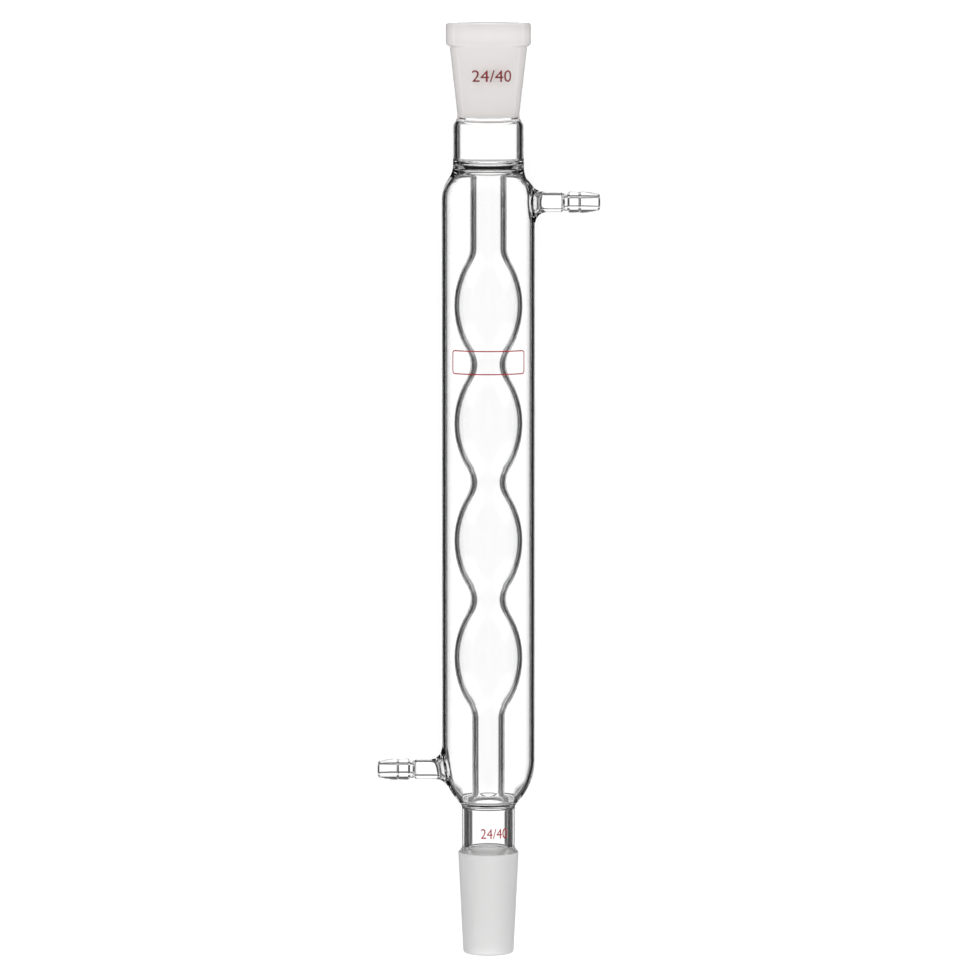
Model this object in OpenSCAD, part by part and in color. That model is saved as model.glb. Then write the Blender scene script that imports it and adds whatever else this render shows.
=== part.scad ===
// Allihn condenser, one fused piece of laboratory glass.
// A water jacket surrounds a vapour tube of blown bulbs, and a ring seal at each end
// closes the jacket onto that tube. A ground socket stands at the upper end and a ground
// cone at the lower end. Two barbed hose arms let the cooling water in and out.
// The glass lies on its jacket: the socket points to +Y, the upper arm to +X, the lower
// arm to -X, and the bench is at Z = 0 under the middle of its length.

/* [Ground joints] */
// Large end of both ground tapers
joint_d = 24; // [19:0.5:29]
// Length of both ground tapers
joint_l = 40; // [30:1:50]
// Length over which a taper changes its diameter by one
taper_run = 10; // [8:0.5:20]
// Glass at the small end of the cone
cone_wall = 2; // [1.5:0.1:3]
// Rounding of the fire-polished end of the cone
tip_round = 0.8; // [0.2:0.1:1.2]
// Glass round the foot of the socket
foot_wall = 2.1; // [1.5:0.1:4]
// Glass round the socket just under its bead
rim_wall = 3.3; // [2.5:0.1:5]
// How far the bead stands out from the socket
bead_proud = 1.5; // [0.5:0.1:3]
// Height of the bead
bead_h = 9; // [4:0.5:14]
// Rounding of the bead's two outer edges
bead_round = 1.2; // [0.2:0.1:1.5]

/* [Necks] */
// How far the upper neck stands out past the foot of the socket
neck_step = 1.9; // [0.5:0.1:4]
// Glass of the upper neck
upper_neck_wall = 1.7; // [1.4:0.1:3]
// Straight length of the upper neck
upper_neck_l = 15; // [6:1:40]
// Glass of the lower neck
lower_neck_wall = 2.5; // [1.5:0.1:4]
// Straight length of the lower neck
lower_neck_l = 14.5; // [6:1:40]

/* [Jacket] */
// Outer diameter of the water jacket
jacket_d = 37; // [34:0.5:48]
// Glass of the water jacket
jacket_wall = 1.4; // [1:0.1:2.4]
// Glass of the jacket's shoulders where they run into the necks
shoulder_wall = 2; // [1.5:0.1:3]
// Crown of the upper shoulder
upper_crown_r = 14; // [10:1:30]
// Crown of the lower shoulder
lower_crown_r = 25; // [14:1:30]
// Sweep of the upper shoulder into its neck
upper_sweep_r = 8; // [5:0.5:20]
// Sweep of the lower shoulder into its neck
lower_sweep_r = 4; // [3:0.5:20]

/* [Vapour tube] */
// Number of blown bulbs
bulb_count = 4; // [2:1:6]
// Outer diameter of a bulb
bulb_d = 27; // [20:0.5:29]
// Distance from bulb to bulb
bulb_pitch = 46.6; // [40:0.2:60]
// Outer diameter at the waists between bulbs
waist_d = 14; // [11:0.5:17]
// Hollow curve of the glass at a waist
waist_r = 10; // [5:0.5:16]
// Outer diameter of the straight tube over the bulbs
upper_tube_d = 14.6; // [11:0.2:17]
// Outer diameter of the straight tube under the bulbs
lower_tube_d = 13; // [11:0.2:17]
// Straight tube between the bulbs and the upper ring seal
upper_tube_l = 28; // [20:1:60]
// Straight tube between the bulbs and the lower ring seal
lower_tube_l = 30; // [20:1:60]
// Glass of the vapour tube
tube_wall = 1.5; // [1:0.1:2]
// Glass of a bulb, which is thinner where it was blown widest
bulb_wall = 1; // [0.7:0.1:2]

/* [Hose arms] */
// Distance from the jacket's axis to the end of each arm
arm_reach = 44; // [38:0.5:60]
// Outer diameter of an arm's plain tube
arm_d = 7.9; // [7:0.1:10]
// Bore of an arm's plain tube
arm_bore_d = 6; // [3.5:0.1:6.2]
// Bore through the barbs
barb_bore_d = 4.1; // [3:0.1:5]
// Largest diameter of the two barbs
barb_d = 8.7; // [8:0.1:11]
// Diameter of the groove behind the barbs
groove_d = 7; // [5.8:0.1:7.4]
// Outer diameter at the end of an arm
arm_tip_d = 7; // [6:0.1:8]
// Distance from the groove to the end of an arm
hose_l = 13.8; // [11:0.2:20]
// Upper arm's axis below the upper neck
upper_arm_drop = 14.5; // [12:0.5:40]
// Lower arm's axis above the lower neck
lower_arm_rise = 16; // [12:0.5:40]
// Hollow curve where an arm flares into the jacket
flare_r = 4.5; // [3:0.5:8]

/* [Hidden] */
$fn = 96;
GLASS = [0.86, 0.92, 0.93, 0.45];
OVER = 1; // how far a cutting shape runs past a face
STEPS = 10; // pieces in each curved stretch of an outline
TINY = 0.001; // points closer than this are one point
CONE_NECK_H = 3; // height in which the cone's top runs into its neck
CONE_NECK_R = 1.3; // crown of that run
FOOT_H = 5; // height in which the socket's foot widens to its neck
FOOT_DROP = 1; // how far the foot reaches below the joint's length
SOCKET_END_H = 4; // height in which the neck's bore narrows to the ground taper
BEAD_FOOT = 0.6; // how far the bead's slanting underside reaches down
UPPER_SEAL_SWEEP_R = 3; // sweep of the bore's wall above the upper ring seal
LOWER_SEAL_SWEEP_R = 4.5; // sweep of the bore's wall below the lower ring seal
FLARE_TURN = 42; // slope of the flare where it meets the jacket, in degrees
FLARE_ROOT = 0.65; // where the flare ends inside the glass, as a part of the jacket's radius
ARM_ROUND = 1.4; // most rounding of an arm's fire-polished end
GROOVE_FLAT = 1.8; // length of the groove's floor
GROOVE_RUN = 0.7; // length of the slope from the plain tube into the groove
BARB_RUN = 0.8; // length of the slope from the groove up to the first barb
BARB_L = 3.5; // length of the first barb
BARB_FALL = 0.15; // how much smaller the first barb's radius is than the second's
NICK_RUN = 0.5; // length of the step down between the barbs
NICK_DEEP = 0.55; // depth of the nick between the barbs
NICK_RISE = 0.5; // length of the slope from the nick up to the second barb
SECOND_BARB_L = 1.1; // length of the second barb's flat
BORE_LEAD = 0.4; // how far before the groove's floor the arm's bore starts to narrow
BORE_RUN = 1.2; // length in which the arm's bore narrows for the barbs
BRACE_OUT = 1.5; // how far past the jacket the upper arm's brace starts
BRACE_THIN = 0.4; // how much the brace's start is thinner than the arm
BRACE_IN = 5; // how far inside the upper neck's face the brace ends
BRACE_DOWN = 5; // how far below the upper neck the brace ends
BRACE_RISE = 10; // most that the brace rises from the arm
BRACE_END_R = 6.5; // radius of the brace's end

// Radii, from the bore outwards
cone_tip_r = (joint_d - joint_l / taper_run) / 2;
mouth_r = joint_d / 2;
bore_r = cone_tip_r - cone_wall;
lower_neck_r = bore_r + lower_neck_wall;
foot_r = cone_tip_r + foot_wall;
upper_neck_r = foot_r + neck_step;
upper_bore_r = upper_neck_r - upper_neck_wall;
jacket_r = jacket_d / 2;
bulb_r = bulb_d / 2;
upper_tube_r = upper_tube_d / 2;
lower_tube_r = lower_tube_d / 2;
arm_r = arm_d / 2;
groove_r = groove_d / 2;
barb_r = barb_d / 2;
arm_tip_r = arm_tip_d / 2;

// An S-shaped wall leads from radius a to radius b by two arcs that meet in line:
// arc p starts straight at a, and arc q ends straight at b.
function s_height(a, b, p, q) = sqrt(2 * (p + q) * abs(b - a) - pow(b - a, 2));
function s_radius(y, a, b, p, q) =
    let (h = s_height(a, b, p, q))
    y < h * p / (p + q)
        ? a + sign(b - a) * (p - sqrt(max(0, p * p - y * y)))
        : b - sign(b - a) * (q - sqrt(max(0, q * q - pow(h - y, 2))));
// Points of such a wall whose foot is at height z, from part f to part t of its height
function s_wall(z, a, b, p, q, f = 0, t = 1) =
    let (h = s_height(a, b, p, q))
    [for (i = [0 : STEPS])
        let (y = h * (f + (t - f) * i / STEPS))
        [s_radius(y, a, b, p, q), z + y]];
// Sum of the two arcs that reach height h between radii a and b
function s_arcs(h, a, b) = (h * h + pow(b - a, 2)) / (2 * max(TINY, abs(b - a)));
function reversed(points) = [for (i = [len(points) - 1 : -1 : 0]) points[i]];
function swapped(points) = [for (p = points) [p[1], p[0]]];
// Stretches of an outline end to end, with no point twice
function joined(points) =
    [for (i = [0 : len(points) - 1])
        if (i == 0 || norm(points[i] - points[max(0, i - 1)]) > TINY) points[i]];
// Points of an arc round [x, y] from angle f to angle t
function arc(x, y, r, f, t) =
    [for (i = [0 : STEPS]) let (w = f + (t - f) * i / STEPS) [x + r * cos(w), y + r * sin(w)]];

// Heights from the cone's end upwards, while the condenser stands upright
lower_neck_z = joint_l + CONE_NECK_H + lower_neck_l;
lower_shoulder_h = s_height(lower_neck_r, jacket_r, lower_sweep_r, lower_crown_r);
lower_seal_z = lower_neck_z + lower_shoulder_h / 3;
bulb_crown_r = s_arcs(bulb_pitch / 2, waist_d / 2, bulb_r) - waist_r;
lower_bulb_h = s_height(lower_tube_r, bulb_r, waist_r, bulb_crown_r);
upper_bulb_h = s_height(bulb_r, upper_tube_r, bulb_crown_r, waist_r);
first_bulb_z = lower_seal_z + lower_tube_l + lower_bulb_h;
last_bulb_z = first_bulb_z + (bulb_count - 1) * bulb_pitch;
upper_seal_z = last_bulb_z + upper_bulb_h + upper_tube_l;
upper_shoulder_h = s_height(jacket_r, upper_neck_r, upper_crown_r, upper_sweep_r);
upper_neck_z = upper_seal_z + upper_shoulder_h / 3;
upper_shoulder_z = upper_neck_z - upper_shoulder_h;
foot_z = upper_neck_z + upper_neck_l;
total_l = foot_z + FOOT_DROP + joint_l;
bead_z = total_l - bead_h;
upper_arm_z = upper_neck_z - upper_arm_drop;
lower_arm_z = lower_neck_z + lower_arm_rise;

// Walls of the jacket's inside at its two shoulders, up to the ring seals
lower_inner_r = lower_neck_r - shoulder_wall;
lower_inner_arcs = s_arcs(lower_shoulder_h, lower_inner_r, jacket_r - jacket_wall);
lower_inner_sweep = lower_sweep_r + shoulder_wall;
lower_wall = s_wall(lower_neck_z, lower_inner_r, jacket_r - jacket_wall,
    lower_inner_sweep, lower_inner_arcs - lower_inner_sweep,
    (lower_seal_z - lower_neck_z) / lower_shoulder_h, 1);
upper_inner_r = upper_neck_r - shoulder_wall;
upper_inner_arcs = s_arcs(upper_shoulder_h, upper_inner_r, jacket_r - jacket_wall);
upper_inner_sweep = upper_sweep_r + shoulder_wall;
upper_wall = s_wall(upper_shoulder_z, jacket_r - jacket_wall, upper_inner_r,
    upper_inner_arcs - upper_inner_sweep, upper_inner_sweep,
    0, (upper_seal_z - upper_shoulder_z) / upper_shoulder_h);
// Radius of the water space's round end at each ring seal
lower_end_r = (lower_wall[0][0] - lower_tube_r) / 2;
upper_end_r = (upper_wall[STEPS][0] - upper_tube_r) / 2;
// Where the groove's floor starts on an arm, from the jacket's axis
groove_x = arm_reach - hose_l - GROOVE_FLAT / 2;

// Outline of the glass from its axis, with every hollow filled
module outline() {
    cone_arcs = s_arcs(CONE_NECK_H, mouth_r, lower_neck_r);
    foot_arcs = s_arcs(FOOT_H, upper_neck_r, foot_r) / 2;
    tip = min(tip_round, cone_wall / 2);
    bead_r = mouth_r + rim_wall + bead_proud;
    polygon(joined(concat(
        [[0, 0]],
        arc(cone_tip_r - tip, tip, tip, -90, 0),
        s_wall(joint_l, mouth_r, lower_neck_r, CONE_NECK_R, cone_arcs - CONE_NECK_R),
        s_wall(lower_neck_z, lower_neck_r, jacket_r, lower_sweep_r, lower_crown_r),
        s_wall(upper_shoulder_z, jacket_r, upper_neck_r, upper_crown_r, upper_sweep_r),
        s_wall(foot_z, upper_neck_r, foot_r, foot_arcs, foot_arcs),
        [[mouth_r + rim_wall, bead_z - BEAD_FOOT]],
        arc(bead_r - bead_round, bead_z + bead_round, bead_round, -60, 0),
        arc(bead_r - bead_round, total_l - bead_round, bead_round, 0, 90),
        [[0, total_l]]
    )));
}

// Passage for the vapour, from the cone's end through the bulbs to the socket's mouth
module passage() {
    tip = min(tip_round, cone_wall / 2);
    hollow = waist_r + tube_wall;
    bulb = bulb_r - bulb_wall;
    waist = waist_d / 2 - tube_wall;
    lower = lower_tube_r - tube_wall;
    upper = upper_tube_r - tube_wall;
    lower_crown = s_arcs(lower_bulb_h, lower, bulb) - hollow;
    crown = s_arcs(bulb_pitch / 2, waist, bulb) - hollow;
    upper_crown = s_arcs(upper_bulb_h, bulb, upper) - hollow;
    lower_seal_r = lower_end_r + tube_wall;
    upper_seal_r = upper_end_r + tube_wall;
    lower_seal_h = s_height(bore_r, lower, LOWER_SEAL_SWEEP_R, lower_seal_r);
    socket_end_r = mouth_r - (total_l - foot_z - SOCKET_END_H) / taper_run / 2;
    end_arcs = s_arcs(SOCKET_END_H, upper_bore_r, socket_end_r) / 2;
    polygon(joined(concat(
        [[0, -OVER], [bore_r + tip, -OVER]],
        arc(bore_r + tip, tip, tip, 270, 180),
        s_wall(lower_seal_z - lower_seal_h, bore_r, lower, LOWER_SEAL_SWEEP_R, lower_seal_r),
        s_wall(first_bulb_z - lower_bulb_h, lower, bulb, hollow, lower_crown),
        [for (i = [1 : bulb_count - 1]) each concat(
            s_wall(first_bulb_z + (i - 1) * bulb_pitch, bulb, waist, crown, hollow),
            s_wall(first_bulb_z + (i - 1 / 2) * bulb_pitch, waist, bulb, hollow, crown))],
        s_wall(last_bulb_z, bulb, upper, upper_crown, hollow),
        s_wall(upper_seal_z, upper, upper_bore_r, upper_seal_r, UPPER_SEAL_SWEEP_R),
        s_wall(foot_z, upper_bore_r, socket_end_r, end_arcs, end_arcs),
        arc(mouth_r + tip, total_l - tip, tip, 180, 90),
        [[mouth_r + tip, total_l + OVER], [0, total_l + OVER]]
    )));
}

// Water space between the jacket and the vapour tube, round-ended at each ring seal
module water_space() {
    polygon(joined(concat(
        arc(lower_tube_r + lower_end_r, lower_seal_z, lower_end_r, 180, 360),
        lower_wall,
        upper_wall,
        arc(upper_tube_r + upper_end_r, upper_seal_z, upper_end_r, 0, 180),
        reversed(s_wall(last_bulb_z, bulb_r, upper_tube_r, bulb_crown_r, waist_r)),
        [for (i = [bulb_count - 1 : -1 : 1]) each concat(
            reversed(s_wall(first_bulb_z + (i - 1 / 2) * bulb_pitch,
                waist_d / 2, bulb_r, waist_r, bulb_crown_r)),
            reversed(s_wall(first_bulb_z + (i - 1) * bulb_pitch,
                bulb_r, waist_d / 2, bulb_crown_r, waist_r)))],
        reversed(s_wall(first_bulb_z - lower_bulb_h, lower_tube_r, bulb_r, waist_r, bulb_crown_r))
    )));
}

// Half outline of a hose arm, with its length along the second coordinate
module arm_outline() {
    barb_x = groove_x + GROOVE_FLAT + BARB_RUN;
    nick_x = barb_x + BARB_L + NICK_RUN;
    second_x = nick_x + NICK_RISE;
    root_x = jacket_r * FLARE_ROOT;
    tip = min(ARM_ROUND, arm_tip_r - barb_bore_d / 2);
    flare = arc(jacket_r + flare_r, arm_r + flare_r, flare_r, 270 - FLARE_TURN, 270);
    root_r = flare[0][1] + (flare[0][0] - root_x) * tan(FLARE_TURN);
    polygon(swapped(joined(concat(
        [[root_x, 0], [root_x, root_r]],
        flare,
        [[groove_x - GROOVE_RUN, arm_r], [groove_x, groove_r], [groove_x + GROOVE_FLAT, groove_r]],
        [[barb_x, barb_r], [barb_x + BARB_L, barb_r - BARB_FALL]],
        [[nick_x, barb_r - NICK_DEEP], [second_x, barb_r], [second_x + SECOND_BARB_L, barb_r]],
        arc(arm_reach - tip, arm_tip_r - tip, tip, 90, 0),
        [[arm_reach, 0]]
    ))));
}

// One hose arm along +X at height z
module arm(z) {
    translate([0, 0, z]) rotate([0, 90, 0]) rotate_extrude() arm_outline();
}

// Glass that sweeps from the upper arm up into the upper neck
module upper_brace() {
    start_x = jacket_r + BRACE_OUT;
    run = upper_neck_r - BRACE_IN - start_x;
    rise = min(upper_neck_z - BRACE_DOWN - upper_arm_z, BRACE_RISE);
    translate([start_x, 0, upper_arm_z])
        rotate([0, atan2(run, rise), 0])
            cylinder(r1 = arm_r - BRACE_THIN, r2 = BRACE_END_R, h = norm([run, rise]));
}

// Bore of an arm, wide in the plain tube and narrower through the barbs
module arm_bore(z) {
    start_x = lower_tube_r + arm_r;
    plain_l = groove_x - BORE_LEAD - start_x;
    translate([start_x, 0, z]) rotate([0, 90, 0]) {
        cylinder(d = arm_bore_d, h = plain_l);
        translate([0, 0, plain_l])
            cylinder(d1 = arm_bore_d, d2 = barb_bore_d, h = BORE_RUN);
        cylinder(d = barb_bore_d, h = arm_reach);
    }
}

// The whole condenser upright, with the cone's end at the origin
module upright() {
    difference() {
        union() {
            rotate_extrude() outline();
            arm(upper_arm_z);
            upper_brace();
            rotate(180) arm(lower_arm_z);
        }
        rotate_extrude() passage();
        rotate_extrude() water_space();
        arm_bore(upper_arm_z);
        rotate(180) arm_bore(lower_arm_z);
    }
}

module condenser() {
    color(GLASS) translate([0, -total_l / 2, jacket_r]) rotate([-90, 0, 0]) upright();
}

condenser();
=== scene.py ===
# The looks of an Allihn condenser: clear and ground glass, its fired-on marks, a white
# bench and soft light. Lengths are in millimetres until they become mesh vertices.
import math

import bmesh
import bpy
from mathutils import Matrix, Vector


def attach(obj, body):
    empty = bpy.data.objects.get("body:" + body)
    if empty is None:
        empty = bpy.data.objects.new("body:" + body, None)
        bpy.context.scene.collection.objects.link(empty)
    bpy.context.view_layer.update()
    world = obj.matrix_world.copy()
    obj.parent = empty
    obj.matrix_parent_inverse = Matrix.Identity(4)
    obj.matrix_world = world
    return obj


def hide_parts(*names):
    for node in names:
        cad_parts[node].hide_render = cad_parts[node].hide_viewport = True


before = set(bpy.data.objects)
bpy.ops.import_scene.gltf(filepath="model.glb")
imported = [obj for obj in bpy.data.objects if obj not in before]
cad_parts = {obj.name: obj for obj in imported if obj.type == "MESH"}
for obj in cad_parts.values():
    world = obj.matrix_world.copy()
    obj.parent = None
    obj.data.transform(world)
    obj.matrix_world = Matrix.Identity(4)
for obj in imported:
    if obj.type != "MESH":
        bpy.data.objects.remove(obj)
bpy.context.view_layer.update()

BODY = "root"
MM = 0.001

# Ground joints: one in ten tapers, 24 mm at the large end and 40 mm long
JOINT_R = 12.0
JOINT_L = 40.0
TAPER = 20.0
TIP_R = 10.0
TIP_ROUND = 0.8
BORE_R = 8.0
CONE_NECK_H = 3.0
CONE_CROWN = 1.3
FOOT_R = 12.1
FOOT_H = 5.0
SOCKET_END_H = 4.0
RIM_R = 15.3
BEAD_R = 16.8
BEAD_FOOT = 9.6
BEAD_LOW = 8.4
BEAD_FILLET = 0.5
BEAD_ROUND = 1.2
FOOT_GAP = 1.0

# Necks and jacket, with heights from the cone's end
LOWER_NECK_R = 10.5
LOWER_NECK_TOP = 57.5
UPPER_NECK_R = 14.0
UPPER_NECK_FOOT = 313.3
SOCKET_FOOT = 328.3
TOTAL_L = SOCKET_FOOT + FOOT_GAP + JOINT_L
NECK_WALL = 1.7
JACKET_R = 18.5
WATER_R = 17.1
LOWER_CROWN, LOWER_SWEEP = 25.0, 4.0
UPPER_CROWN, UPPER_SWEEP = 14.0, 8.0

# Ground faces: how far they run out over a bend, the clear lip, and the slack in a radius
RUN_OUT = 0.6
CLEAR_LIP = 0.7
SLACK = 0.1

# Vapour tube and its ring seals
TUBE_WALL = 1.5
BULB_WALL = 1.0
BULB_R = 13.5
WAIST_R = 7.0
WAIST_ARC = 10.0
BULB_COUNT = 4
BULB_PITCH = 46.6
FIRST_BULB = 118.3
LOWER_TUBE_R = 6.5
UPPER_TUBE_R = 7.3
LOWER_SEAL, LOWER_RING, LOWER_SEAL_SWEEP = 64.2, 2.99, 4.5
UPPER_SEAL, UPPER_RING, UPPER_SEAL_SWEEP = 308.9, 2.87, 3.0

# Water space: the shoulders as (height, fillet), the end rings as (radius, fillet, fillet at the tube)
UPPER_SHOULDER, LOWER_SHOULDER = (303.8, 10.5), (70.0, 21.5)
UPPER_END, LOWER_END = (10.6, 2.6, 2.0), (10.15, 2.7, 2.3)

# Hose arms
ARM_REACH = 44.0
ARM_R = 3.95
ARM_BORE_R = 3.0
TRUMPET_X = 23.4
BORE_X = 21.5
UPPER_ARM = 298.8
LOWER_ARM = 73.5

# Patches left open round each arm, as (reach below, reach above, columns)
UPPER_PATCH = (11.0, 18.0, 24)
LOWER_PATCH = (12.0, 12.0, 24)
INNER_PATCH = (7.0, 7.0, 16)

# Edges of the trumpets, as (half width, reach below, reach above)
UPPER_FLARE = (9.4, 8.7, 15.5)
LOWER_FLARE = (9.4, 9.4, 9.4)
INNER_FLARE = (5.0, 5.0, 5.0)

# Mesh density: columns round the axis, angle between rows on an arc, vertices round an arm,
# rings over the wall and over the bend of a trumpet
AROUND = 128
TURN_STEP = math.radians(6.0)
EDGE = 96
FLATS = 3
BLENDS = 12

# How full a trumpet's bend is, the step that finds its slopes, the least distances between
# vertices and between a patch and the rows beside it, and the jacket's least share of its radius
BLEND = 0.6
SLOPE_STEP = 0.003
SAME_POINT = 0.001
TINY = 1e-9
SEAM = 0.3
ON_JACKET = 0.8

# Materials of the glass by number
CLEAR, GROUND_SOCKET, GROUND_CONE = 0, 1, 2


def s_arcs(height, a, b):
    """Sum of the two arcs that reach a height between two radii."""
    return (height * height + (b - a) ** 2) / (2 * abs(b - a))


def s_height(a, b, p, q):
    """Height of an S-shaped wall from radius a to radius b with arcs p and q."""
    return math.sqrt(2 * (p + q) * abs(b - a) - (b - a) ** 2)


def s_bend(z, a, b, p, q):
    """The two filleted corners of an S-shaped wall that starts at height z."""
    height = s_height(a, b, p, q)
    turn = math.acos(1 - abs(b - a) / (p + q))
    return [(a, z + p * math.tan(turn / 2), p), (b, z + height - q * math.tan(turn / 2), q)]


def downwards(corners):
    return corners[::-1]


def bent(corners, closed=True):
    """Rows (r, z, nr, nz) round corners (r, z, fillet), with every fillet a true arc.

    The glass lies on the left of the path, so each normal points to its right."""
    rows = []
    count = len(corners)
    for i, (r, z, fillet) in enumerate(corners):
        here = Vector((r, z))
        back = (Vector(corners[i - 1][:2]) - here).normalized()
        ahead = (Vector(corners[(i + 1) % count][:2]) - here).normalized()
        if not closed and i == 0:
            rows.append((r, z, ahead.y, -ahead.x))
            continue
        if not closed and i == count - 1:
            rows.append((r, z, -back.y, back.x))
            continue
        half = back.angle(ahead) / 2
        centre = here + (back + ahead).normalized() * (fillet / math.sin(half))
        start = here + back * (fillet / math.tan(half)) - centre
        end = here + ahead * (fillet / math.tan(half)) - centre
        a = math.atan2(start.y, start.x)
        turn = (math.atan2(end.y, end.x) - a + math.pi) % (2 * math.pi) - math.pi
        steps = max(1, math.ceil(abs(turn) / TURN_STEP))
        side = 1 if turn > 0 else -1
        for k in range(steps + 1):
            w = a + turn * k / steps
            rows.append((centre.x + fillet * math.cos(w), centre.y + fillet * math.sin(w),
                         side * math.cos(w), side * math.sin(w)))
    kept = [rows[0]]
    for row in rows[1:]:
        if math.hypot(row[0] - kept[-1][0], row[1] - kept[-1][1]) > SAME_POINT:
            kept.append(row)
    return kept


def tube_corners(tube_wall, bulb_wall):
    """Corners of the vapour tube going up, at the given depths inside its outer face."""
    crown = s_arcs(BULB_PITCH / 2, WAIST_R, BULB_R) - WAIST_ARC
    lower_h = s_height(LOWER_TUBE_R, BULB_R, WAIST_ARC, crown)
    upper_h = s_height(UPPER_TUBE_R, BULB_R, WAIST_ARC, crown)
    bulb, waist, hollow = BULB_R - bulb_wall, WAIST_R - tube_wall, WAIST_ARC + tube_wall

    def rise(z, r, height):
        return s_bend(z, r, bulb, hollow, s_arcs(height, r, bulb) - hollow)

    def fall(z, r, height):
        return s_bend(z, bulb, r, s_arcs(height, bulb, r) - hollow, hollow)

    corners = rise(FIRST_BULB - lower_h, LOWER_TUBE_R - tube_wall, lower_h)
    for i in range(BULB_COUNT - 1):
        low = FIRST_BULB + i * BULB_PITCH
        corners += fall(low, waist, BULB_PITCH / 2) + rise(low + BULB_PITCH / 2, waist, BULB_PITCH / 2)
    last = FIRST_BULB + (BULB_COUNT - 1) * BULB_PITCH
    return corners + fall(last, UPPER_TUBE_R - tube_wall, upper_h)


def body_rows():
    """Outside of the glass going up, then the socket's mouth and the passage going down."""
    upper_h = s_height(JACKET_R, UPPER_NECK_R, UPPER_CROWN, UPPER_SWEEP)
    cone_arcs = s_arcs(CONE_NECK_H, JOINT_R, LOWER_NECK_R)
    foot_arcs = s_arcs(FOOT_H, UPPER_NECK_R, FOOT_R) / 2
    bore = UPPER_NECK_R - NECK_WALL
    socket_end = JOINT_R - (TOTAL_L - SOCKET_FOOT - SOCKET_END_H) / TAPER
    end_arcs = s_arcs(SOCKET_END_H, bore, socket_end) / 2
    lower, upper = LOWER_TUBE_R - TUBE_WALL, UPPER_TUBE_R - TUBE_WALL
    seal = LOWER_RING + TUBE_WALL
    lower_h = s_height(BORE_R, lower, LOWER_SEAL_SWEEP, seal)
    return bent(
        [(TIP_R, 0.0, TIP_ROUND)]
        + s_bend(JOINT_L, JOINT_R, LOWER_NECK_R, CONE_CROWN, cone_arcs - CONE_CROWN)
        + s_bend(LOWER_NECK_TOP, LOWER_NECK_R, JACKET_R, LOWER_SWEEP, LOWER_CROWN)
        + s_bend(UPPER_NECK_FOOT - upper_h, JACKET_R, UPPER_NECK_R, UPPER_CROWN, UPPER_SWEEP)
        + s_bend(SOCKET_FOOT, UPPER_NECK_R, FOOT_R, foot_arcs, foot_arcs)
        + [(RIM_R, TOTAL_L - BEAD_FOOT, BEAD_FILLET), (BEAD_R, TOTAL_L - BEAD_LOW, BEAD_ROUND),
           (BEAD_R, TOTAL_L, BEAD_ROUND), (JOINT_R, TOTAL_L, TIP_ROUND)]
        + downwards(s_bend(SOCKET_FOOT, bore, socket_end, end_arcs, end_arcs))
        + downwards(s_bend(UPPER_SEAL, upper, bore, UPPER_RING + TUBE_WALL, UPPER_SEAL_SWEEP))
        + downwards(tube_corners(TUBE_WALL, BULB_WALL))
        + downwards(s_bend(LOWER_SEAL - lower_h, BORE_R, lower, LOWER_SEAL_SWEEP, seal))
        + [(BORE_R, 0.0, TIP_ROUND)])


def water_rows():
    """The water space: up the tube, round the upper seal, down the jacket, round the lower."""
    top, bottom = UPPER_SEAL + UPPER_RING, LOWER_SEAL - LOWER_RING
    return bent(
        tube_corners(0, 0)
        + [(UPPER_TUBE_R, top, UPPER_END[2]), (UPPER_END[0], top, UPPER_END[1]),
           (WATER_R,) + UPPER_SHOULDER, (WATER_R,) + LOWER_SHOULDER,
           (LOWER_END[0], bottom, LOWER_END[1]), (LOWER_TUBE_R, bottom, LOWER_END[2])])


def at(rows, s_list, s):
    """The row at arc length s, by steps along the rows."""
    lo, hi = 0, len(s_list) - 1
    while hi - lo > 1:
        mid = (lo + hi) // 2
        if s_list[mid] <= s:
            lo = mid
        else:
            hi = mid
    a, b = rows[lo], rows[hi]
    t = (s - s_list[lo]) / max(TINY, s_list[hi] - s_list[lo])
    row = [a[i] + (b[i] - a[i]) * t for i in range(4)]
    size = math.hypot(row[2], row[3])
    return row[0], row[1], row[2] / size, row[3] / size


def lengths(rows):
    out = [0.0]
    for a, b in zip(rows, rows[1:]):
        out.append(out[-1] + math.hypot(b[0] - a[0], b[1] - a[1]))
    return out


def placed(r, z, theta):
    """A point of the lathe in the bench frame, in millimetres."""
    return Vector((r * math.cos(theta), z - TOTAL_L / 2, JACKET_R + r * math.sin(theta)))


class Skin:
    """Vertices with true normals, shared by name, and faces with a material."""

    def __init__(self):
        self.points, self.normals, self.faces, self.marks, self.names = [], [], [], [], {}

    def vertex(self, name, point, normal):
        if name not in self.names:
            self.names[name] = len(self.points)
            self.points.append(point * MM)
            self.normals.append(normal.normalized())
        return self.names[name]

    def face(self, corners, mark=CLEAR):
        corners = [c for i, c in enumerate(corners) if c != corners[i - 1]]
        if len(corners) < 3:
            return
        normal = (self.points[corners[1]] - self.points[corners[0]]).cross(
            self.points[corners[2]] - self.points[corners[1]])
        lean = sum((self.normals[c] for c in corners), Vector())
        self.faces.append(corners if normal.dot(lean) > 0 else corners[::-1])
        self.marks.append(mark)

    def band(self, one, two, mark=CLEAR):
        """Quads between two closed rings of vertices."""
        for i in range(len(one)):
            self.face([one[i - 1], one[i], two[i], two[i - 1]], mark)

    def mesh(self, name):
        data = bpy.data.meshes.new(name)
        data.from_pydata([tuple(p) for p in self.points], [], self.faces)
        for polygon, mark in zip(data.polygons, self.marks):
            polygon.material_index = mark
            polygon.use_smooth = True
        data.normals_split_custom_set_from_vertices([tuple(n) for n in self.normals])
        data.validate()
        return data


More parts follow.
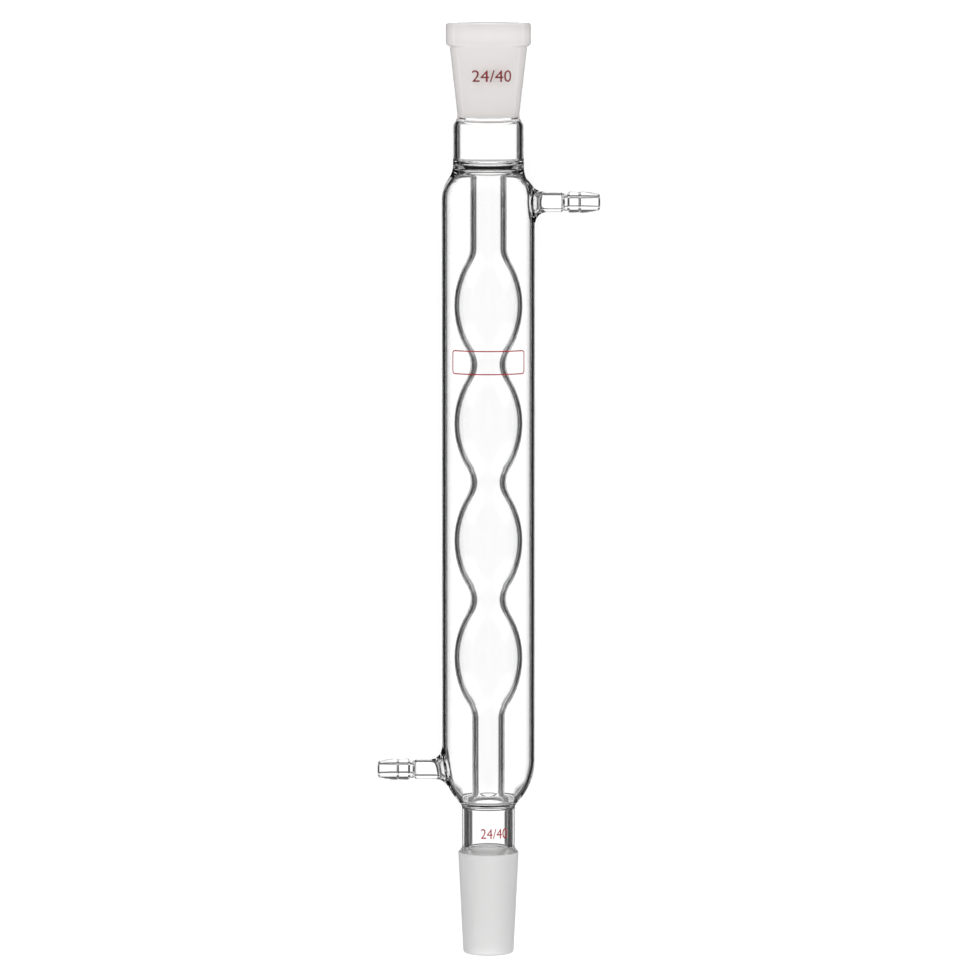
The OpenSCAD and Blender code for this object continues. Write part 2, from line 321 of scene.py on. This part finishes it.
class Hole:
    """A patch left open in a lathe: the names of its edge and the surface round it."""

    def __init__(self, side, way, centre, edge, surface):
        self.side, self.way, self.centre = side, way, centre
        self.edge, self.surface = edge, surface

    def point(self, u, v):
        """Point and normal at angle u and arc length v from the middle of the hole."""
        r, z, nr, nz = self.surface(self.centre + v)
        theta = u + (0.0 if self.side > 0 else math.pi)
        normal = Vector((nr * math.cos(theta), nz, nr * math.sin(theta)))
        return placed(r, z, theta), normal


def middle_of(rows, s_list, z, way):
    """Arc length at which the jacket's wall, going up or down, passes height z."""
    found = next(i for i, row in enumerate(rows)
                 if (row[1] - z) * way >= 0 and row[0] > JACKET_R * ON_JACKET
                 and (rows[i][1] - rows[i - 1][1]) * way > 0)
    return s_list[found] + (z - rows[found][1]) * way


def patch_edge(first, last, middle, half):
    """Rows and columns of the vertices round a patch, in one turn."""
    return ([(i, middle + half) for i in range(first, last)]
            + [(last, j) for j in range(middle + half, middle - half, -1)]
            + [(i, middle - half) for i in range(last, first, -1)]
            + [(first, j) for j in range(middle - half, middle + half)])


def lathe(skin, name, rows, holes, mark):
    """Turn closed rows into skin, leaving a patch open for each hole.

    A hole is (side, z of its middle, way of the path, reach below, reach above, columns)."""
    rows = rows + [rows[0]]
    s_list = lengths(rows)
    stations = list(s_list[:-1])
    spans = []
    for side, z, way, below, above, columns in holes:
        centre = middle_of(rows, s_list, z, way)
        low, high = (below, above) if way > 0 else (above, below)
        count = EDGE // 2 - columns
        mine = [centre - low + (low + high) * k / count for k in range(count + 1)]
        stations = [s for s in stations if not mine[0] - SEAM < s < mine[-1] + SEAM] + mine
        spans.append((side, way, centre, mine, columns // 2))
    stations.sort()
    table = [at(rows, s_list, s) for s in stations]
    count = len(table)

    def corner(i, j):
        r, z, nr, nz = table[i % count]
        theta = 2 * math.pi * j / AROUND
        normal = Vector((nr * math.cos(theta), nz, nr * math.sin(theta)))
        return skin.vertex((name, i % count, j % AROUND), placed(r, z, theta), normal)

    skipped = set()
    found = []
    for side, way, centre, mine, half in spans:
        first, last = stations.index(mine[0]), stations.index(mine[-1])
        middle = 0 if side > 0 else AROUND // 2
        skipped |= {(i, j % AROUND) for i in range(first, last)
                    for j in range(middle - half, middle + half)}
        ring = [(corner(i, j), 2 * math.pi * (j - middle) / AROUND, stations[i] - centre)
                for i, j in patch_edge(first, last, middle, half)]
        found.append(Hole(side, way, centre, ring, lambda s: at(rows, s_list, s)))
    for i in range(count):
        for j in range(AROUND):
            if (i, j) not in skipped:
                quad = [corner(i, j), corner(i, j + 1), corner(i + 1, j + 1), corner(i + 1, j)]
                skin.face(quad, mark(table[i], table[(i + 1) % count]))
    return found


# Hose arm from its trumpet to its end and back along the bore, as (reach, radius, fillet)
ARM_CORNERS = [
    (TRUMPET_X, ARM_R, 0), (28.6, ARM_R, 0.5), (29.3, 3.5, 0.3), (31.1, 3.5, 0.25),
    (31.9, 4.3, 0.4), (35.4, 4.2, 0.15), (35.9, 3.8, 0.12), (36.4, 4.35, 0.2),
    (37.5, 4.35, 1.5), (ARM_REACH, 3.27, 1.2), (ARM_REACH, 2.05, 0.12),
    (30.1, 2.05, 0.4), (28.9, ARM_BORE_R, 0.4), (BORE_X, ARM_BORE_R, 0)]


def arm_axes(side):
    """Directions out along an arm, across it, and up the condenser."""
    return Vector((side, 0.0, 0.0)), Vector((0.0, 0.0, side)), Vector((0.0, 1.0, 0.0))


def arm_start(z):
    """Where an arm's axis meets the condenser's."""
    return Vector((0.0, z - TOTAL_L / 2, JACKET_R))


def flare_rim(size, way, a):
    """Edge of a trumpet at angle a, as an angle round the wall and a length along it."""
    reach = size[2] if math.sin(a) > 0 else size[1]
    return size[0] * math.cos(a) / JACKET_R, reach * math.sin(a) * way


def flare_point(hole, z, size, tube, t, a):
    """Point at angle a and share t of the bend that leads from the wall into a tube."""
    out, across, up = arm_axes(hole.side)
    end = arm_start(z) + out * tube[1]
    p, normal = hole.point(*flare_rim(size, hole.way, a))
    q = end + (across * math.cos(a) + up * math.sin(a)) * tube[0]
    inward = end - p
    tangent = (inward - normal * inward.dot(normal)).normalized()
    gap = q - p
    one = p + tangent * abs(gap.dot(tangent)) * BLEND
    two = q - out * abs(gap.dot(out)) * BLEND
    return (p * (1 - t) ** 3 + one * 3 * t * (1 - t) ** 2
            + two * 3 * t * t * (1 - t) + q * t ** 3)


def trumpet(skin, hole, z, size, tube, outward):
    """Rings from the edge of a hole over the surface and on into a tube.

    size is the hole's half width and its reach below and above; tube is the radius and the
    start of the tube. Ring vertices are numbered by angle, so that any two rings match."""
    side, way = hole.side, hole.way
    out, across, up = arm_axes(side)

    def curve(t, a):
        return flare_point(hole, z, size, tube, t, a)

    numbers = [i if way > 0 else (EDGE // 4 - i) % EDGE for i in range(EDGE)]
    angles = [2 * math.pi * n / EDGE - math.pi / 4 for n in numbers]
    ring = [index for index, u, v in hole.edge]
    for k in range(1, FLATS + 1):
        t = k / FLATS
        now = []
        for (index, u, v), a, n in zip(hole.edge, angles, numbers):
            ru, rv = flare_rim(size, way, a)
            point, normal = hole.point(u + (ru - u) * t, v + (rv - v) * t)
            now.append(skin.vertex(("flat", outward, side, k, n), point, normal))
        skin.band(ring, now)
        ring = now
    for k in range(1, BLENDS + 1):
        t = k / BLENDS
        now = []
        for a, n in zip(angles, numbers):
            along = curve(t, a) - curve(t - SLOPE_STEP, a)
            round_ = curve(t, a + SLOPE_STEP) - curve(t, a - SLOPE_STEP)
            normal = along.cross(round_)
            spoke = across * math.cos(a) + up * math.sin(a)
            if normal.dot(spoke) * outward < 0:
                normal = -normal
            now.append(skin.vertex(("blend", outward, side, k, n), curve(t, a), normal))
        skin.band(ring, now)
        ring = now
    return [index for n, index in sorted(zip(numbers, ring))]


def arm(skin, z, outer, inner, flare):
    """A hose arm: a trumpet on the jacket, the barbed tube, and a trumpet inside."""
    side = outer.side
    out, across, up = arm_axes(side)
    middle = arm_start(z)
    ring = trumpet(skin, outer, z, flare, (ARM_R, TRUMPET_X), 1)
    last = trumpet(skin, inner, z, INNER_FLARE, (ARM_BORE_R, BORE_X), -1)
    for k, (x, r, nx, nr) in enumerate(bent(ARM_CORNERS, closed=False)[1:-1]):
        now = []
        for n in range(EDGE):
            a = 2 * math.pi * n / EDGE - math.pi / 4
            spoke = across * math.cos(a) + up * math.sin(a)
            normal = -(out * nx + spoke * nr)
            now.append(skin.vertex(("arm", side, k, n), middle + out * x + spoke * r, normal))
        skin.band(ring, now)
        ring = now
    skin.band(ring, last)


def ground(a, b):
    """Which material the glass has between two rows: ground on the two tapers."""
    low, high = min(a[1], b[1]), max(a[1], b[1])
    if high < JOINT_L + RUN_OUT and min(a[0], b[0]) > TIP_R - TIP_ROUND:
        return GROUND_CONE
    if (low > SOCKET_FOOT + SOCKET_END_H - RUN_OUT and high < TOTAL_L - CLEAR_LIP
            and max(a[0], b[0]) < JOINT_R + SLACK):
        return GROUND_SOCKET
    return CLEAR


def glass():
    """The whole condenser as one closed skin."""
    skin = Skin()
    outer_holes = [(-1, LOWER_ARM, 1) + LOWER_PATCH, (1, UPPER_ARM, 1) + UPPER_PATCH]
    inner_holes = [(1, UPPER_ARM, -1) + INNER_PATCH, (-1, LOWER_ARM, -1) + INNER_PATCH]
    outer = lathe(skin, "body", body_rows(), outer_holes, ground)
    inner = lathe(skin, "water", water_rows(), inner_holes, lambda a, b: CLEAR)
    arm(skin, UPPER_ARM, outer[1], inner[0], UPPER_FLARE)
    arm(skin, LOWER_ARM, outer[0], inner[1], LOWER_FLARE)
    return skin.mesh("condenser_glass")


def link(name, mesh, materials):
    piece = bpy.data.objects.new(name, mesh)
    bpy.context.scene.collection.objects.link(piece)
    for material in materials:
        mesh.materials.append(material)
    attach(piece, BODY)
    return piece


# Fired-on marks: thickness, half thickness of a flat shape, width of the slices that follow
# the glass, distance that joins vertices, vertices on a rounded corner
ENAMEL = 0.05
SLAB = 0.01
SLICE = 0.7
WELD = 0.0005
CORNER_POINTS = 10


def wrapped(x, z, lift):
    """Point on the outside of a neck at width x round it and height z, lifted off it."""
    if z > SOCKET_FOOT:
        foot, rim = SOCKET_FOOT + FOOT_H, TOTAL_L - BEAD_FOOT
        r = FOOT_R + (RIM_R - FOOT_R) * (z - foot) / (rim - foot)
    elif z > LOWER_SEAL:
        r = JACKET_R
    else:
        r = LOWER_NECK_R
    theta = math.pi / 2 - x / r
    return placed(r + lift, z, theta) * MM


def cut_across(shape, low, high, step):
    """Slice a flat shape by upright planes so that it can follow a curve."""
    x = low
    while x < high:
        parts = list(shape.verts) + list(shape.edges) + list(shape.faces)
        bmesh.ops.bisect_plane(shape, geom=parts, plane_co=(x, 0, 0), plane_no=(1, 0, 0))
        x += step


def printed(name, shape, x, z, material):
    """A flat shape in millimetres wrapped onto the glass as a thin closed shell of enamel."""
    xs = [v.co.x for v in shape.verts]
    cut_across(shape, min(xs) + SLICE / 2, max(xs), SLICE)
    bmesh.ops.recalc_face_normals(shape, faces=shape.faces)
    for v in shape.verts:
        lift = ENAMEL if v.co.z > 0 else -ENAMEL / 2
        v.co = wrapped(v.co.x + x, v.co.y + z, lift)
    mesh = bpy.data.meshes.new(name)
    shape.to_mesh(mesh)
    shape.free()
    return link(name, mesh, [material])


def digits(text, width, height):
    """Outlined figures as a thin slab, centred and scaled to a width and a height."""
    curve = bpy.data.curves.new("figures", "FONT")
    curve.body = text
    curve.extrude = SLAB
    holder = bpy.data.objects.new("figures", curve)
    bpy.context.scene.collection.objects.link(holder)
    graph = bpy.context.evaluated_depsgraph_get()
    shape = bmesh.new()
    shape.from_mesh(holder.evaluated_get(graph).to_mesh())
    bpy.data.objects.remove(holder)
    bpy.data.curves.remove(curve)
    bmesh.ops.remove_doubles(shape, verts=shape.verts, dist=WELD)
    xs = [v.co.x for v in shape.verts]
    ys = [v.co.y for v in shape.verts]
    for v in shape.verts:
        v.co.x = (v.co.x - (min(xs) + max(xs)) / 2) * width / (max(xs) - min(xs))
        v.co.y = (v.co.y - (min(ys) + max(ys)) / 2) * height / (max(ys) - min(ys))
        v.co.z = math.copysign(SLAB, v.co.z)
    return shape


def label_field(width, height, line, round_):
    """Outline of a blank label field with rounded corners, as a thin slab."""
    loops = []
    for inset in (0.0, line):
        loop = []
        for k in range(4 * CORNER_POINTS):
            quarter = k // CORNER_POINTS
            w = math.pi / 2 * (quarter + (k % CORNER_POINTS) / (CORNER_POINTS - 1))
            cx = (width / 2 - round_) * (1 if quarter in (0, 3) else -1)
            cy = (height / 2 - round_) * (1 if quarter in (0, 1) else -1)
            r = round_ - inset
            loop.append((cx + r * math.cos(w), cy + r * math.sin(w)))
        loops.append(loop)
    shape = bmesh.new()
    rims = ((loops[0], -SLAB), (loops[0], SLAB), (loops[1], SLAB), (loops[1], -SLAB))
    grid = [[shape.verts.new((x, y, z)) for x, y in loop] for loop, z in rims]
    for i in range(len(grid)):
        one, two = grid[i - 1], grid[i]
        for k in range(4 * CORNER_POINTS):
            shape.faces.new((one[k - 1], one[k], two[k], two[k - 1]))
    return shape


# Materials
GLASS_IOR = 1.47
ENAMEL_IOR = 1.5
NOISE_SPAN = (0.3, 0.7)
ROUGH_SPREAD = 0.12
SOCKET_COLOUR = (1.0, 0.97, 0.955, 1)
CONE_COLOUR = (0.78, 0.78, 0.777, 1)
# Painted light on the cone: the paler colour of its lower side, and the heights over which it fades in
CONE_PAINTED_LIGHT = (1, 1, 0.995, 1)
PAINTED_LIGHT_HEIGHTS = (0.012, 0.0185)
RED_DEEP = (0.30, 0.004, 0.008, 1)
RED_BRIGHT = (0.38, 0.010, 0.015, 1)


def plain_material(name):
    material = bpy.data.materials.new(name)
    material.use_nodes = True
    nodes = material.node_tree.nodes
    return material, nodes, material.node_tree.links, nodes["Principled BSDF"]


def noise(nodes, links, scale, detail):
    place = nodes.new("ShaderNodeTexCoord")
    grain = nodes.new("ShaderNodeTexNoise")
    grain.inputs["Scale"].default_value = scale
    grain.inputs["Detail"].default_value = detail
    links.new(place.outputs["Object"], grain.inputs["Vector"])
    return grain.outputs["Fac"]


def ranged(nodes, links, value, span, low, high):
    """A value spread from one span to another, in a straight line."""
    spread = nodes.new("ShaderNodeMapRange")
    spread.inputs["From Min"].default_value = span[0]
    spread.inputs["From Max"].default_value = span[1]
    spread.inputs["To Min"].default_value = low
    spread.inputs["To Max"].default_value = high
    links.new(value, spread.inputs["Value"])
    return spread


def fades(nodes, links, value, span, low, high):
    """The same spread with a soft start and a soft end."""
    fade = ranged(nodes, links, value, span, low, high)
    fade.interpolation_type = "SMOOTHSTEP"
    return fade.outputs["Result"]


def joined(nodes, links, operation, *values):
    node = nodes.new("ShaderNodeMath")
    node.operation = operation
    for socket, value in zip(node.inputs, values):
        links.new(value, socket)
    return node.outputs[0]


def mixed(nodes, links, share, one, two):
    tint = nodes.new("ShaderNodeMixRGB")
    tint.inputs["Color1"].default_value = one
    tint.inputs["Color2"].default_value = two
    links.new(share, tint.inputs["Fac"])
    return tint.outputs["Color"]


def bumped(nodes, links, shader, height, strength, distance):
    bump = nodes.new("ShaderNodeBump")
    bump.inputs["Strength"].default_value = strength
    bump.inputs["Distance"].default_value = distance
    links.new(height, bump.inputs["Height"])
    links.new(bump.outputs["Normal"], shader.inputs["Normal"])


def clear_glass():
    """Drawn glass, with the faint waves that a flame leaves."""
    material, nodes, links, shader = plain_material("clear_glass")
    shader.inputs["Base Color"].default_value = (1, 1, 1, 1)
    shader.inputs["Transmission Weight"].default_value = 1
    shader.inputs["IOR"].default_value = GLASS_IOR
    shader.inputs["Roughness"].default_value = 0
    waves = noise(nodes, links, scale=45, detail=1)
    bumped(nodes, links, shader, waves, strength=0.12, distance=0.0004)
    return material


def ground_glass(name, colour, transmission, rough):
    """Matt glass with a fine grain and faint patches."""
    material, nodes, links, shader = plain_material(name)
    shader.inputs["Base Color"].default_value = colour
    shader.inputs["Transmission Weight"].default_value = transmission
    shader.inputs["IOR"].default_value = GLASS_IOR
    patches = noise(nodes, links, scale=260, detail=4)
    spread = ranged(nodes, links, patches, NOISE_SPAN, rough, rough + ROUGH_SPREAD)
    links.new(spread.outputs["Result"], shader.inputs["Roughness"])
    grain = noise(nodes, links, scale=2600, detail=3)
    bumped(nodes, links, shader, grain, strength=0.35, distance=0.0002)
    return material


def painted_light_below(material, painted_light_colour, heights):
    """Ground glass with painted light: its lower side is painted paler than its upper side, standing in
    for light from the bench.
    """
    nodes, links = material.node_tree.nodes, material.node_tree.links
    colour = nodes["Principled BSDF"].inputs["Base Color"]
    place = nodes.new("ShaderNodeTexCoord")
    axes = nodes.new("ShaderNodeSeparateXYZ")
    links.new(place.outputs["Object"], axes.inputs[0])
    share = fades(nodes, links, axes.outputs["Z"], heights, 1, 0)
    links.new(mixed(nodes, links, share, colour.default_value, painted_light_colour), colour)


def red_enamel():
    """Red enamel, fired on unevenly."""
    material, nodes, links, shader = plain_material("red_enamel")
    shader.inputs["Roughness"].default_value = 0.35
    shader.inputs["IOR"].default_value = ENAMEL_IOR
    spots = noise(nodes, links, scale=900, detail=3)
    spread = ranged(nodes, links, spots, NOISE_SPAN, 0, 1)
    colour = mixed(nodes, links, spread.outputs["Result"], RED_DEEP, RED_BRIGHT)
    links.new(colour, shader.inputs["Base Color"])
    return material


# Bench
BENCH_REACH = 30.0
BENCH_TOP = -0.00005
BENCH_GREY = 0.5
BENCH_GLOW = 0.6


def sharp_ray(nodes, links):
    """One for a ray that comes from glass, as a reflection or through it."""
    path = nodes.new("ShaderNodeLightPath")
    return path, joined(nodes, links, "MAXIMUM", path.outputs["Is Glossy Ray"],
                        path.outputs["Is Transmission Ray"])


def switched(nodes, links, share, one, two):
    """The first shader where the share is nought, the second where it is one."""
    node = nodes.new("ShaderNodeMixShader")
    links.new(share, node.inputs["Fac"])
    links.new(one, node.inputs[1])
    links.new(two, node.inputs[2])
    return node.outputs[0]


def bench_white():
    """White to the camera, grey to the light, and open to what glass shows."""
    material = bpy.data.materials.new("bench_white")
    material.use_nodes = True
    nodes, links = material.node_tree.nodes, material.node_tree.links
    nodes.clear()
    out = nodes.new("ShaderNodeOutputMaterial")
    face = nodes.new("ShaderNodeBsdfDiffuse")
    face.inputs["Color"].default_value = (BENCH_GREY, BENCH_GREY, BENCH_GREY, 1)
    glow = nodes.new("ShaderNodeEmission")
    glow.inputs["Strength"].default_value = BENCH_GLOW
    both = nodes.new("ShaderNodeAddShader")
    links.new(face.outputs[0], both.inputs[0])
    links.new(glow.outputs[0], both.inputs[1])
    open_ = nodes.new("ShaderNodeBsdfTransparent")
    path, sharp = sharp_ray(nodes, links)
    seen = switched(nodes, links, path.outputs["Is Camera Ray"], face.outputs[0], both.outputs[0])
    links.new(switched(nodes, links, sharp, seen, open_.outputs[0]), out.inputs["Surface"])
    return material


def bench():
    """A wide bench top. What glass shows through it is the light under it, not its face."""
    mesh = bpy.data.meshes.new("bench")
    far = BENCH_REACH
    mesh.from_pydata([(-far, -far, BENCH_TOP), (far, -far, BENCH_TOP), (far, far, BENCH_TOP),
                      (-far, far, BENCH_TOP)], [], [(0, 1, 2, 3)])
    floor = bpy.data.objects.new("bench", mesh)
    bpy.context.scene.collection.objects.link(floor)
    mesh.materials.append(bench_white())


# Light that the glass shows, by direction. A span is where a light fades in or out, as the
# direction's share sideways (X), along the condenser (Y) or up (Z). A level is its brightness.
DARK = 0.02
HORIZON_Z = (-0.1, 0.0)
BACK_Y = (-0.1, 0.1)
LIGHT_X = (0.20, 0.30)
LIGHT_Y = (0.25, 0.36)
FRONT_Y = (0.44, 0.54)
RIM_Z = (-0.46, -0.30)
ENDS_Z = (-0.57, -0.44)
ENDS_Y = (0.30, 0.45)
ENDS = 0.82
CORNER = (0.33, 0.43)
CORNER_Z = (-0.70, -0.60)
CORNERS = 0.7
FLANK_Y = (0.25, 0.45)
FLANK_LOW = (-0.30, -0.20)
FLANK_HIGH = (0.35, 0.50)
FLANK = 0.3
CEILING_Z = (0.3, 0.6)
CEILING = 0.35
SHOWN_LIGHT = 1.15
EVEN_LIGHT = 1.22


class Directions:
    """Brightness worked out from the direction that the world is seen in."""

    def __init__(self, nodes, links):
        self.nodes, self.links = nodes, links
        place = nodes.new("ShaderNodeTexCoord")
        axes = nodes.new("ShaderNodeSeparateXYZ")
        links.new(place.outputs["Generated"], axes.inputs[0])
        self.y, self.z = axes.outputs["Y"], axes.outputs["Z"]
        self.aside = joined(nodes, links, "ABSOLUTE", axes.outputs["X"])
        self.along = joined(nodes, links, "ABSOLUTE", self.y)

    def fade(self, value, span, low, high):
        return fades(self.nodes, self.links, value, span, low, high)

    def less(self, one, two):
        return joined(self.nodes, self.links, "SUBTRACT", one, two)

    def times(self, one, two):
        return joined(self.nodes, self.links, "MULTIPLY", one, two)

    def most(self, one, two):
        return joined(self.nodes, self.links, "MAXIMUM", one, two)

    def below(self):
        """A bright field under the glass, and in front of it, between dark sides."""
        front = self.less(self.fade(self.along, FRONT_Y, 0, 1), self.fade(self.y, BACK_Y, 0, 1))
        field = self.most(self.fade(self.along, LIGHT_Y, 1, DARK), front)
        under = self.times(self.fade(self.aside, LIGHT_X, 1, DARK), field)
        return self.times(under, self.fade(self.z, HORIZON_Z, 1, 0))

    def openings(self):
        """Lights in the dark sides, past the condenser's ends and at the four corners."""
        ends = self.times(self.fade(self.z, ENDS_Z, 0, ENDS), self.fade(self.along, ENDS_Y, 0, 1))
        corner = self.times(self.fade(self.aside, CORNER, 0, 1), self.fade(self.along, CORNER, 0, 1))
        return self.most(ends, self.times(corner, self.fade(self.z, CORNER_Z, 0, CORNERS)))

    def flank(self):
        """Dimmer level light straight out to the sides, which the glass walls mirror."""
        level = self.most(self.fade(self.z, FLANK_LOW, 1, FLANK), self.fade(self.z, FLANK_HIGH, FLANK, 1))
        return self.most(self.fade(self.along, FLANK_Y, FLANK, 1), level)

    def above(self):
        """Everything from just below the horizon up to a dimmer ceiling."""
        rim = self.most(self.fade(self.z, RIM_Z, DARK, 1), self.openings())
        return self.times(rim, self.times(self.flank(), self.fade(self.z, CEILING_Z, 1, CEILING)))


def light(nodes, strength):
    background = nodes.new("ShaderNodeBackground")
    background.inputs["Color"].default_value = (1, 1, 1, 1)
    background.inputs["Strength"].default_value = strength
    return background


def room():
    """The light: even and white for matt faces, a bright field with dark sides for clear glass."""
    world = bpy.data.worlds.new("room")
    bpy.context.scene.world = world
    world.use_nodes = True
    nodes, links = world.node_tree.nodes, world.node_tree.links
    nodes.clear()
    out = nodes.new("ShaderNodeOutputWorld")
    directions = Directions(nodes, links)
    shown = light(nodes, SHOWN_LIGHT)
    links.new(directions.most(directions.below(), directions.above()), shown.inputs["Color"])
    even = light(nodes, EVEN_LIGHT)
    path, sharp = sharp_ray(nodes, links)
    unscattered = directions.less(sharp, path.outputs["Diffuse Depth"])
    links.new(switched(nodes, links, unscattered, even.outputs[0], shown.outputs[0]),
              out.inputs["Surface"])


# Camera
SENSOR = 36
LENS = 219.5
EYE = (0.0006, 0.235, 2.37)
AIM = (0.00063, 0.0003, 0.0185)


def camera():
    """Straight down on the condenser from well above it, leaning a little as the photo does."""
    data = bpy.data.cameras.new("camera")
    data.sensor_width = SENSOR
    data.lens = LENS
    eye = bpy.data.objects.new("camera", data)
    bpy.context.scene.collection.objects.link(eye)
    eye.location = EYE
    ahead = (Vector(AIM) - eye.location).normalized()
    right = ahead.cross(Vector((0, 1, 0))).normalized()
    eye.rotation_euler = Matrix((right, right.cross(ahead), -ahead)).transposed().to_euler()
    bpy.context.scene.camera = eye


# Widths, heights and places of the marks
FIGURES = "24/40"
SOCKET_FIGURES = (16.2, 4.6)
SOCKET_FIGURES_AT = (1.5, 348.7)
CONE_FIGURES = (11.1, 4.0)
CONE_FIGURES_AT = (2.5, 49.05)
LABEL = (32.0, 9.5)
LABEL_LINE = 0.45
LABEL_ROUND = 1.4
LABEL_AT = (0.0, 236.7)
BOUNCES = 32


def build():
    socket = ground_glass("socket_ground", SOCKET_COLOUR, transmission=0.04, rough=0.4)
    cone = ground_glass("cone_ground", CONE_COLOUR, transmission=0.4, rough=0.5)
    # Painted light: the cone's lower side is painted paler than its upper side
    painted_light_below(cone, CONE_PAINTED_LIGHT, PAINTED_LIGHT_HEIGHTS)
    red = red_enamel()
    piece = link("glass", glass(), [clear_glass(), socket, cone])
    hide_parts("condenser")
    printed("socket_figures", digits(FIGURES, *SOCKET_FIGURES), *SOCKET_FIGURES_AT, red)
    printed("cone_figures", digits(FIGURES, *CONE_FIGURES), *CONE_FIGURES_AT, red)
    printed("label_field", label_field(*LABEL, LABEL_LINE, LABEL_ROUND), *LABEL_AT, red)
    bench()
    room()
    camera()
    bpy.context.scene.cycles.max_bounces = BOUNCES
    bpy.context.scene.cycles.transmission_bounces = BOUNCES
    bpy.context.scene.view_settings.view_transform = "Standard"


build()
